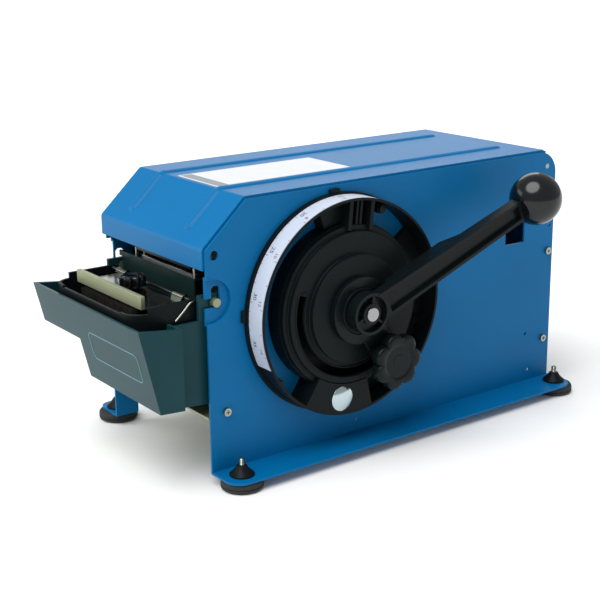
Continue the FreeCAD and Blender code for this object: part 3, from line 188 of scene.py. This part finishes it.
finishOf = {
    "right_side_plate": "powderCoatBlue", "left_side_plate": "powderCoatBlue", "lid": "powderCoatBlue",
    "rear_panel": "powderCoatBlue", "base_plate": "yellowZinc", "outlet_panel": "satinBlackPaint",
    "guide_pins": "brightZinc", "fixed_knife": "groundSteel", "moving_knife": "blackOxide",
    "knife_carrier": "blackOxide", "right_cheek": "yellowZinc", "left_cheek": "yellowZinc",
    "roll_cradle": "yellowZinc", "side_guide": "yellowZinc", "idler_stud": "turnedSteel",
    "shaft_bushes": "sinteredBronze", "feed_bushes": "sinteredBronze", "tape_guide_rod": "turnedSteel",
    "knife_rod": "turnedSteel", "knife_springs": "springSteel", "pressure_springs": "springSteel",
    "frame_screws": "brightZinc", "foot_pads": "nitrileRubber", "foot_cones": "sparkGrainAbs",
    "foot_studs": "brightZinc", "lid_hinge_pin": "turnedSteel", "dial_drum": "sparkGrainAbs",
    "scale_band": "vinylStrip", "drum_clips": "sparkGrainAbs", "hub_housing": "sparkGrainAbs",
    "bumper_disc": "nickelDisc", "cradle_rods": "turnedSteel", "lever_arm": "filledNylon",
    "lever_knob": "phenolicBlack", "main_shaft": "turnedSteel", "shaft_collar": "springSteel",
    "drive_gear": "mouldedAcetal", "idler_gear": "mouldedAcetal", "feed_pinion": "turnedSteel",
    "feed_core": "mouldedAcetal", "feed_sleeve": "nitrileRubber", "feed_shaft": "turnedSteel",
    "pressure_roller": "nitrileRubber", "pressure_shaft": "turnedSteel", "stop_arm": "filledNylon",
    "clamp_bolt": "brightZinc", "stop_knob": "filledNylon", "roll_roller_front": "mouldedAcetal",
    "roll_roller_rear": "mouldedAcetal", "water_tank": "tankAbs", "tank_pins": "yellowZinc",
    "brush_tray": "sparkGrainAbs", "brush_block": "sparkGrainAbs", "brush_bristles": "drawnNylon",
    # the weight plate's darker zinc is a painted reflection of the dark outlet
    "wire_clip": "brightZinc", "weight_rod": "springSteel", "weight_plate": "rolledZincPaintedReflection",
    "weight_bar": "yellowZinc", "weight_bolt": "brightZinc", "weight_knob": "phenolicBlack",
}
for name, node in nodes.items():
    for holder in node.material_slots:
        holder.material = made[finishOf[name]]
print("finishes made:", len(made))

# helpers for shapes


def newPiece(name, verts, faces, finish, cadNode=None, body=None, smoothUnder=35):
    mesh = bpy.data.meshes.new(name)
    mesh.from_pydata([tuple(v) for v in verts], [], faces)
    mesh.validate()
    mesh.polygons.foreach_set("use_smooth", [True] * len(mesh.polygons))
    mesh.set_sharp_from_angle(angle=math.radians(smoothUnder))
    piece = bpy.data.objects.new(name, mesh)
    scene.collection.objects.link(piece)
    mesh.materials.append(made[finish])
    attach(piece, body or bodyOf[cadNode])
    return piece


def roundOver(piece, width, steps=2, angle=34):
    bevel = piece.modifiers.new("edge", "BEVEL")
    bevel.width, bevel.segments, bevel.limit_method = width * mm, steps, "ANGLE"
    bevel.angle_limit, bevel.harden_normals, bevel.use_clamp_overlap = math.radians(angle), True, True
    flatten = piece.modifiers.new("flat", "WEIGHTED_NORMAL")
    flatten.keep_sharp, flatten.weight = True, 80
    return piece


def softened(cadNode, width, steps=2, angle=34):
    # the same piece with its sharp edges rounded over, as paint or moulding leaves them
    work = bmesh.new()
    work.from_mesh(nodes[cadNode].data)
    bmesh.ops.remove_doubles(work, verts=work.verts, dist=2e-6)
    bmesh.ops.dissolve_limit(work, angle_limit=math.radians(0.6), verts=work.verts, edges=work.edges)
    work.verts.index_update()
    verts = [v.co.copy() for v in work.verts]
    faces = [[v.index for v in f.verts] for f in work.faces]
    work.free()
    piece = newPiece(cadNode + "Soft", verts, faces, finishOf[cadNode], cadNode)
    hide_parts(cadNode)
    return roundOver(piece, width, steps, angle)


def turned(profile, centre, axis, steps=72, swell=None):
    # spins (along, radius, lobing) rings about an axis through centre
    # swell gives the radius's factor by angle
    axis = Vector(axis).normalized()
    side = axis.orthogonal().normalized()
    if abs(axis.x) > 0.9:
        side = Vector((0, 1, 0))
    other = axis.cross(side)
    verts, faces = [], []
    for along, radius, *lobing in profile:
        for i in range(steps):
            turn = 2 * math.pi * i / steps
            reach = radius * (1 + (swell(turn) - 1) * lobing[0]) if swell and lobing else radius
            spoke = (side * math.cos(turn) + other * math.sin(turn)) * reach * mm
            verts.append(Vector(centre) + axis * along * mm + spoke)
    for row in range(len(profile) - 1):
        for i in range(steps):
            a, b = row * steps + i, row * steps + (i + 1) % steps
            faces.append([a, b, b + steps, a + steps])
    faces.append(list(range(steps))[::-1])
    faces.append([(len(profile) - 1) * steps + i for i in range(steps)])
    return verts, faces


def merged(parts):
    verts, faces = [], []
    for partVerts, partFaces in parts:
        shift = len(verts)
        verts += partVerts
        faces += [[i + shift for i in face] for face in partFaces]
    return verts, faces


def middle(cadNode):
    low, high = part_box(cadNode)
    return (low + high) / 2


# sheet metal, housings and moulded parts keep their shape and lose their razor edges
edgeWidths = {
    "right_side_plate": 0.35, "left_side_plate": 0.35, "lid": 0.5, "rear_panel": 0.35, "base_plate": 0.35,
    "outlet_panel": 0.3, "dial_drum": 0.6, "hub_housing": 0.7, "lever_arm": 0.9, "stop_arm": 0.7,
    "water_tank": 0.8, "brush_tray": 0.7, "drum_clips": 0.5, "weight_plate": 0.4, "weight_bar": 0.5,
    "knife_carrier": 0.4, "right_cheek": 0.3, "left_cheek": 0.3, "roll_cradle": 0.3, "side_guide": 0.35,
    "frame_screws": 0.3, "bumper_disc": 0.3, "moving_knife": 0.2, "shaft_bushes": 0.3,
    "main_shaft": 0.6, "idler_stud": 0.4, "lid_hinge_pin": 0.3, "feed_sleeve": 0.5, "pressure_roller": 0.5,
    "roll_roller_front": 0.5, "roll_roller_rear": 0.5, "brush_block": 0.8, "feed_core": 0.4,
}
for name, width in edgeWidths.items():
    softened(name, width)
# the screws that hold the dial are blackened, the rest are bright
dialCentre = (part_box("hub_housing")[0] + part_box("hub_housing")[1]) / 2
screws = bpy.data.objects["frame_screwsSoft"].data
screws.materials.append(made["blackOxide"])
for face in screws.polygons:
    if face.center.x > dialCentre.x - 30 * mm and (face.center.yz - dialCentre.yz).length < 100 * mm:
        face.material_index = 1
print("edges rounded on", len(edgeWidths), "pieces")

# raised rim round the hub's curved slot, bent as one closed bead
slotRim = {"radius": 56.0, "half": 4.6, "start": 160.0, "sweep": 150.0, "depth": 23.8, "bead": 0.8,
           "steps": 28}
hubCentre = middle("main_shaft")
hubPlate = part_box("dial_drum")[0].x


def dialPoint(reach, turn, depth):
    angle = math.radians(turn)
    return Vector((hubPlate + depth * mm, hubCentre.y + reach * mm * math.cos(angle),
                   hubCentre.z + reach * mm * math.sin(angle)))


def slotLoop(plan):
    inner, outer = plan["radius"] - plan["half"], plan["radius"] + plan["half"]
    turns = [plan["start"] + plan["sweep"] * k / plan["steps"] for k in range(plan["steps"] + 1)]
    endTurn = math.degrees(plan["half"] * 0.9 / plan["radius"])
    loop = [dialPoint(outer, turn, plan["depth"]) for turn in turns]
    loop.append(dialPoint(plan["radius"], turns[-1] + endTurn, plan["depth"]))
    loop += [dialPoint(inner, turn, plan["depth"]) for turn in reversed(turns)]
    loop.append(dialPoint(plan["radius"], turns[0] - endTurn, plan["depth"]))
    return loop


loop = slotLoop(slotRim)
curve = bpy.data.curves.new("slotRim", "CURVE")
curve.dimensions, curve.bevel_depth, curve.bevel_resolution = "3D", slotRim["bead"] * mm, 2
line = curve.splines.new("POLY")
line.points.add(len(loop) - 1)
for point, place in zip(line.points, loop):
    point.co = (*place, 1)
line.use_cyclic_u = True
curve.materials.append(made["sparkGrainAbs"])
rim = bpy.data.objects.new("slotRim", curve)
scene.collection.objects.link(rim)
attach(rim, bodyOf["hub_housing"])
print("slot rim bent")

# star knob of the length stop
starKnob = {"lobes": 7, "dip": 0.2, "radius": 25.0, "thick": 13.8}
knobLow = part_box("stop_knob")[0]
starCentre = Vector((knobLow.x, *middle("stop_knob").yz))


def sevenLobes(turn):
    # broad round lobes with narrower valleys between them
    wave = abs(math.cos(starKnob["lobes"] * turn / 2))
    return 1 - starKnob["dip"] * (1 - wave ** 0.75)


r = starKnob["radius"]
t = starKnob["thick"]
profile = [(0, 3.1), (0, 12), (0.4, 12.8), (2.6, 12.8), (3.0, 14), (3.1, r - 2.2, 1), (3.6, r - 0.8, 1),
           (4.8, r, 1), (10.8, r, 1), (12.4, r - 0.5, 1), (13.4, r - 1.6, 1), (t, r - 3.4, 1),
           (t, r - 6, 0.8), (13.3, 14.6), (12.7, 13.8), (12.7, 6.2), (13.1, 5.8), (13.1, 0.4)]
verts, faces = turned(profile, starCentre, (1, 0, 0), 168, sevenLobes)
knob = newPiece("stopKnob", verts, faces, "filledNylon", "stop_knob")
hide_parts("stop_knob")

# small star knob on the weight plate
smallKnob = {"radius": 11.4, "dip": 0.2}
low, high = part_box("weight_knob")
base = Vector((middle("weight_knob").x, middle("weight_knob").y, low.z))
top = (high.z - low.z) / mm


def smallLobes(turn):
    return 1 - smallKnob["dip"] * (1 - abs(math.cos(3.5 * turn)) ** 0.8)


r = smallKnob["radius"]
profile = [(0, 2.6), (0, 5.4), (0.3, 6), (1.4, 6.2), (1.6, r - 1.6, 1), (2.2, r - 0.3, 1), (3.0, r, 1),
           (top - 1.8, r, 1), (top - 0.8, r - 0.5, 1), (top - 0.1, r - 1.8, 1), (top, r - 4, 0.6),
           (top - 0.5, 4.4), (top - 0.9, 3.9), (top - 0.9, 0.3)]
verts, faces = turned(profile, base, (0, 0, 1), 140, smallLobes)
knob = newPiece("weightKnob", verts, faces, "phenolicBlack", "weight_knob")
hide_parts("weight_knob")
print("star knobs turned")

# ball on the end of the lever
ball = {"radius": 23.5, "turn": 21.3, "neck": 10.2}
leverAway = Vector((0, math.cos(math.radians(ball["turn"])), math.sin(math.radians(ball["turn"]))))
spot = middle("main_shaft")
ballCentre = Vector((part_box("dial_drum")[0].x + 49 * mm, spot.y, spot.z)) + leverAway * 200.5 * mm
cutBack = 20.4
profile = [(-cutBack, 4), (-cutBack, ball["neck"]), (-cutBack + 0.5, ball["neck"] + 0.8)]
startTurn = math.asin(min(1, (ball["neck"] + 1.2) / ball["radius"]))
for i in range(33):
    turn = math.pi - startTurn - (math.pi - startTurn) * i / 32
    profile.append((ball["radius"] * math.cos(turn), max(ball["radius"] * math.sin(turn), 0.05)))
verts, faces = turned(profile, ballCentre, leverAway, 96)
knob = newPiece("ballKnob", verts, faces, "phenolicBlack", "lever_knob")
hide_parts("lever_knob")
print("ball knob turned")

# feet: rubber pads with grooves, cone nuts, threaded studs
footPlan = {"padRadius": 18.0, "padHeight": 9.0, "coneHeight": 9.0, "studHeight": 15.0, "pitch": 0.9}
padLow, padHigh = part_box("foot_pads")
spread = footPlan["padRadius"] * mm
flangeTop = 11 * mm
spots = [(padHigh.x - spread, -0.1505), (padHigh.x - spread, 0.218), (padLow.x + spread, -0.156),
         (padLow.x + spread, 0.217)]
pads, cones, studs = [], [], []
for x, y in spots:
    r, tall = footPlan["padRadius"], footPlan["padHeight"]
    pads.append(turned([(0, 3), (0, r - 3), (0.5, r - 1.6), (1.6, r - 0.3), (2.4, r), (3.4, r),
                        (3.7, r - 0.7), (4.2, r - 0.7), (4.5, r), (6.2, r), (7.6, r - 0.4), (8.6, r - 1.3),
                        (tall, r - 2.4), (tall, 3)], (x, y, 0), (0, 0, 1), 72))
    cones.append(turned([(0, 2.6), (0, 10), (0.3, 10.5), (1.4, 10.5), (1.9, 9.9), (3.6, 7.9), (6.0, 5.8),
                         (7.8, 4.7), (8.7, 4.2), (9.0, 3.7), (9.0, 2.6)], (x, y, flangeTop), (0, 0, 1), 48))
    thread, height = [(-2, 1.9), (-2, 2.1)], -1.6
    while height < footPlan["studHeight"] - 1.2:
        thread += [(height, 2.05), (height + footPlan["pitch"] / 2, 2.5)]
        height += footPlan["pitch"]
    thread += [(footPlan["studHeight"] - 0.6, 2.2), (footPlan["studHeight"], 1.6)]
    studs.append(turned(thread, (x, y, flangeTop), (0, 0, 1), 32))
for name, parts, finish, cadNode, sharp in (("footPads", pads, "nitrileRubber", "foot_pads", 40),
                                            ("footCones", cones, "sparkGrainAbs", "foot_cones", 40),
                                            ("footStuds", studs, "brightZinc", "foot_studs", 70)):
    verts, faces = merged(parts)
    piece = newPiece(name, verts, faces, finish, cadNode, smoothUnder=sharp)
    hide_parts(cadNode)
print("feet made")

# printed numbers and ticks on the dial's strip
dial = {"start": 21.3, "step": 24.6, "blackSize": 6.2, "redSize": 5.2, "inkLift": 0.06}
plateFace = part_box("dial_drum")[0].x
bandLow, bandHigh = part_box("scale_band")
dial["centre"] = middle("main_shaft")
dial["radius"] = (bandHigh.z - dial["centre"].z) / mm
dial["near"], dial["far"] = (bandLow.x - plateFace) / mm, (bandHigh.x - plateFace) / mm
dial["blackRow"] = dial["near"] + 0.29 * (dial["far"] - dial["near"])
dial["redRow"] = dial["near"] + 0.71 * (dial["far"] - dial["near"])


def wrapped(points, turn):
    # (u, v) in mm on the strip: u runs round the dial from an angle, v runs out from the plate
    out = []
    for u, v in points:
        angle = math.radians(turn) + u / dial["radius"]
        reach = (dial["radius"] + dial["inkLift"]) * mm
        out.append(Vector((plateFace + v * mm, dial["centre"].y + reach * math.cos(angle),
                           dial["centre"].z + reach * math.sin(angle))))
    return out


def number(text, size, turn, row):
    curve = bpy.data.curves.new("digits", "FONT")
    curve.body, curve.size, curve.align_x, curve.align_y = text, size, "CENTER", "CENTER"
    holder = bpy.data.objects.new("digits", curve)
    scene.collection.objects.link(holder)
    bpy.context.view_layer.update()
    flat = bpy.data.meshes.new_from_object(holder.evaluated_get(bpy.context.evaluated_depsgraph_get()))
    points = wrapped([(v.co.x, row + v.co.y) for v in flat.vertices], turn)
    faces = [list(f.vertices) for f in flat.polygons]
    bpy.data.objects.remove(holder)
    bpy.data.curves.remove(curve)
    bpy.data.meshes.remove(flat)
    return points, faces


def tick(turn, low, high, width):
    half = width / 2
    return wrapped([(-half, low), (half, low), (half, high), (-half, high)], turn), [[0, 1, 2, 3]]


black, red = [], []
for index in range(1, 8):
    black.append(number(str(5 * index), dial["blackSize"], dial["start"] + dial["step"] * index - 3.2,
                        dial["blackRow"]))
    red.append(number(str(2 * index), dial["redSize"], dial["start"] + 25.0 * index - 3.0,
                      dial["redRow"]))
for index in range(2, 37):
    turn = dial["start"] + dial["step"] * index / 5
    if turn < 202:
        black.append(tick(turn, dial["near"] + 0.4, dial["near"] + (3.4 if index % 5 == 0 else 1.8), 0.4))
for index in range(2, 15):
    turn = dial["start"] + 12.5 * index
    if turn < 202:
        red.append(tick(turn, dial["far"] - (2.6 if index % 2 else 3.6), dial["far"] - 0.4, 0.4))
for name, parts, finish in (("scaleNumbersBlack", black, "inkBlack"), ("scaleNumbersRed", red, "inkRed")):
    verts, faces = merged(parts)
    piece = newPiece(name, verts, faces, finish, body="frame")
print("dial printed")

# plain label on the lid, with no words
label = {"front": 43.0, "rear": 184.0, "half": 32.0, "centre": 4.0, "corner": 2.0, "thick": 0.12}
# plain raised border on the tank's front, with nothing inside it
border = {"left": -4.0, "right": 78.0, "low": 89.0, "high": 113.0, "corner": 5.0, "line": 0.9, "rise": 0.35}


def buildPoint(x, y, z):
    # from the drawing's corner to the origin under the machine
    return Vector(((x - 18.5) * mm, (y - 168) * mm, (z + 11) * mm))


def slab(points, normal, thick):
    verts = list(points) + [p + Vector(normal) * thick * mm for p in points]
    count = len(points)
    faces = [list(range(count))[::-1], list(range(count, 2 * count))]
    faces += [[i, (i + 1) % count, (i + 1) % count + count, i + count] for i in range(count)]
    return verts, faces


def roundedPlate(x0, x1, y0, y1, z, corner, thick):
    points = []
    for cx, cy, start in ((x1 - corner, y1 - corner, 0), (x0 + corner, y1 - corner, 90),
                          (x0 + corner, y0 + corner, 180), (x1 - corner, y0 + corner, 270)):
        for k in range(5):
            turn = math.radians(start + 22.5 * k)
            points.append(buildPoint(cx + corner * math.cos(turn), cy + corner * math.sin(turn), z))
    return slab(points, (0, 0, 1), thick)


lidTop = 227.0
parts = roundedPlate(label["centre"] - label["half"], label["centre"] + label["half"], label["front"],
                     label["rear"], lidTop, label["corner"], label["thick"])
piece = newPiece("lidLabel", *parts, "filmedPaper", body="lid")
parts = roundedPlate(label["centre"] - label["half"] + 2, label["centre"] + label["half"] - 2,
                     label["front"] + 2, label["front"] + 13, lidTop + label["thick"], 0.6, 0.04)
piece = newPiece("labelPanel", *parts, "inkGrey", body="lid")

# the tank's front leans back towards its foot
tankFront = {"top": 137, "front": -68, "drop": 71, "lean": 16.6}
outward = Vector((0, -tankFront["drop"], -tankFront["lean"])).normalized()


def frontPoint(x, z):
    back = (tankFront["top"] - z) / tankFront["drop"] * tankFront["lean"]
    return buildPoint(x, tankFront["front"] + back, z)


def ridge(a, b, width):
    run = (b - a).normalized()
    aside = run.cross(outward) * width / 2 * mm
    low = [a + aside, b + aside, b - aside, a - aside]
    crest = (a + aside * 0.4, b + aside * 0.4, b - aside * 0.4, a - aside * 0.4)
    high = [p + outward * border["rise"] * mm for p in crest]
    return low + high, [[3, 2, 1, 0], [4, 5, 6, 7], [0, 1, 5, 4], [1, 2, 6, 5], [2, 3, 7, 6], [3, 0, 4, 7]]


corners = []
for x, z, start in ((border["right"], border["high"], 0), (border["left"], border["high"], 90),
                    (border["left"], border["low"], 180), (border["right"], border["low"], 270)):
    inX = x - border["corner"] if x == border["right"] else x + border["corner"]
    inZ = z - border["corner"] if z == border["high"] else z + border["corner"]
    for k in range(5):
        turn = math.radians(start + 22.5 * k)
        corners.append(frontPoint(inX + border["corner"] * math.cos(turn),
                                  inZ + border["corner"] * math.sin(turn)))
ridges = [ridge(corners[i], corners[(i + 1) % len(corners)], border["line"]) for i in range(len(corners))]
verts, faces = merged(ridges)
# the ridge is real geometry; its paler colour is a painted highlight
piece = newPiece("tankBorder", verts, faces, "tankBorderPolishAndPaintedHighlight", body="water_tank")
print("label and border placed")

# wire clip: one bent wire
clip = {"wire": 0.8, "route": [(70.8, -22, 132), (70.8, -14, 139), (70.8, -8.6, 144.4), (70.8, -6.5, 145.4),
                               (70.8, -2, 146.2)]}
curve = bpy.data.curves.new("wireClip", "CURVE")
curve.dimensions, curve.bevel_depth, curve.bevel_resolution = "3D", clip["wire"] * mm, 3
curve.use_fill_caps = True
line = curve.splines.new("NURBS")
line.points.add(len(clip["route"]) - 1)
for point, spotMm in zip(line.points, clip["route"]):
    point.co = (*buildPoint(*spotMm), 1)
line.order_u = 3
line.use_endpoint_u = True
curve.materials.append(made["brightZinc"])
wire = bpy.data.objects.new("wireClip", curve)
scene.collection.objects.link(wire)
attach(wire, "water_tank")
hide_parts("wire_clip")

# brush: rows of tufts
brush = {"rows": 8, "columns": 30, "hairs": 7, "hair": 0.42, "seed": 5}
low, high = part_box("brush_bristles")
chance = random.Random(brush["seed"])
verts, faces = [], []
for row in range(brush["rows"]):
    for column in range(brush["columns"]):
        centreX = low.x + (high.x - low.x) * (column + 0.5) / brush["columns"]
        centreY = low.y + (high.y - low.y) * (row + 0.5) / brush["rows"]
        for _ in range(brush["hairs"]):
            footX, footY = centreX + chance.uniform(-0.7, 0.7) * mm, centreY + chance.uniform(-0.7, 0.7) * mm
            tipX = min(max(footX + chance.uniform(-0.9, 0.9) * mm, low.x), high.x)
            tipY = min(max(footY + chance.uniform(-0.9, 0.9) * mm, low.y), high.y)
            tipZ = high.z - chance.uniform(0, 0.9) * mm
            first = len(verts)
            for cx, cy, cz, wide in ((footX, footY, low.z, 1.0), (tipX, tipY, tipZ, 0.55)):
                for k in range(3):
                    turn = 2 * math.pi * k / 3
                    verts.append((cx + brush["hair"] * wide * mm * math.cos(turn),
                                  cy + brush["hair"] * wide * mm * math.sin(turn), cz))
            for k in range(3):
                n = (k + 1) % 3
                faces.append([first + k, first + n, first + 3 + n, first + 3 + k])
            faces += [[first + 2, first + 1, first], [first + 3, first + 4, first + 5]]
piece = newPiece("brushTufts", verts, faces, "drawnNylon", "brush_bristles", smoothUnder=80)
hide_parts("brush_bristles")
print("clip and brush made")

# floor, lamps, camera


stage = {"reach": 30.0, "floor": "#F7F7F6", "sky": 0.42, "skyColor": "#FFFFFF"}


def makeFloor():
    reach = stage["reach"]
    mesh = bpy.data.meshes.new("floor")
    corners = [(-reach, -reach, 0), (reach, -reach, 0), (reach, reach, 0), (-reach, reach, 0)]
    mesh.from_pydata(corners, [], [[0, 1, 2, 3]])
    floor = bpy.data.objects.new("floor", mesh)
    scene.collection.objects.link(floor)
    mat = bpy.data.materials.new("paleFloor")
    mat.use_nodes = True
    shader = mat.node_tree.nodes["Principled BSDF"]
    shader.inputs["Base Color"].default_value = hexColor(stage["floor"])
    shader.inputs["Roughness"].default_value = 0.95
    shader.inputs["Specular IOR Level"].default_value = 0.1
    mesh.materials.append(mat)


makeFloor()
# a broad soft key from above and in front, and two panels for the gloss
lamps = {
    "keySun": {"kind": "SUN", "at": (0.3, -1.2, 2.4), "power": 2.9, "size": 0.9},
    "frontPanel": {"kind": "AREA", "at": (-1.5, -1.7, 0.7), "power": 12, "size": 1.4},
    "backPanel": {"kind": "AREA", "at": (-2.0, 1.5, 1.1), "power": 9, "size": 1.5},
}
for name, spec in lamps.items():
    light = bpy.data.lights.new(name, spec["kind"])
    light.energy = spec["power"]
    if spec["kind"] == "SUN":
        light.angle = spec["size"]
    else:
        light.size = spec["size"]
    lamp = bpy.data.objects.new(name, light)
    lamp.location = spec["at"]
    lamp.rotation_euler = (Vector((0, 0, 0.1)) - Vector(spec["at"])).to_track_quat("-Z", "Y").to_euler()
    scene.collection.objects.link(lamp)
world = bpy.data.worlds.new("studio")
world.use_nodes = True
world.node_tree.nodes["Background"].inputs["Color"].default_value = hexColor(stage["skyColor"])
world.node_tree.nodes["Background"].inputs["Strength"].default_value = stage["sky"]
scene.world = world
scene.view_settings.view_transform = "Standard"

view = {"azimuth": 53.98, "elevation": 16.31, "roll": -0.69, "distance": 1.24834,
        "target": (-0.07944, 0.02831, 0.09085), "lens": 76.186}
az, el, roll = (math.radians(view[k]) for k in ("azimuth", "elevation", "roll"))
back = Vector((math.sin(az) * math.cos(el), -math.cos(az) * math.cos(el), math.sin(el)))
right = Vector((math.cos(az), math.sin(az), 0))
up = back.cross(right)
level = right * math.cos(roll) + up * math.sin(roll)
upright = up * math.cos(roll) - right * math.sin(roll)
camera = bpy.data.objects.new("camera", bpy.data.cameras.new("camera"))
camera.data.lens, camera.data.sensor_width = view["lens"], 36.0
turn = Matrix((level, upright, back)).transposed().to_4x4()
camera.matrix_world = Matrix.Translation(Vector(view["target"]) + back * view["distance"]) @ turn
scene.collection.objects.link(camera)
scene.camera = camera
print("stage set")
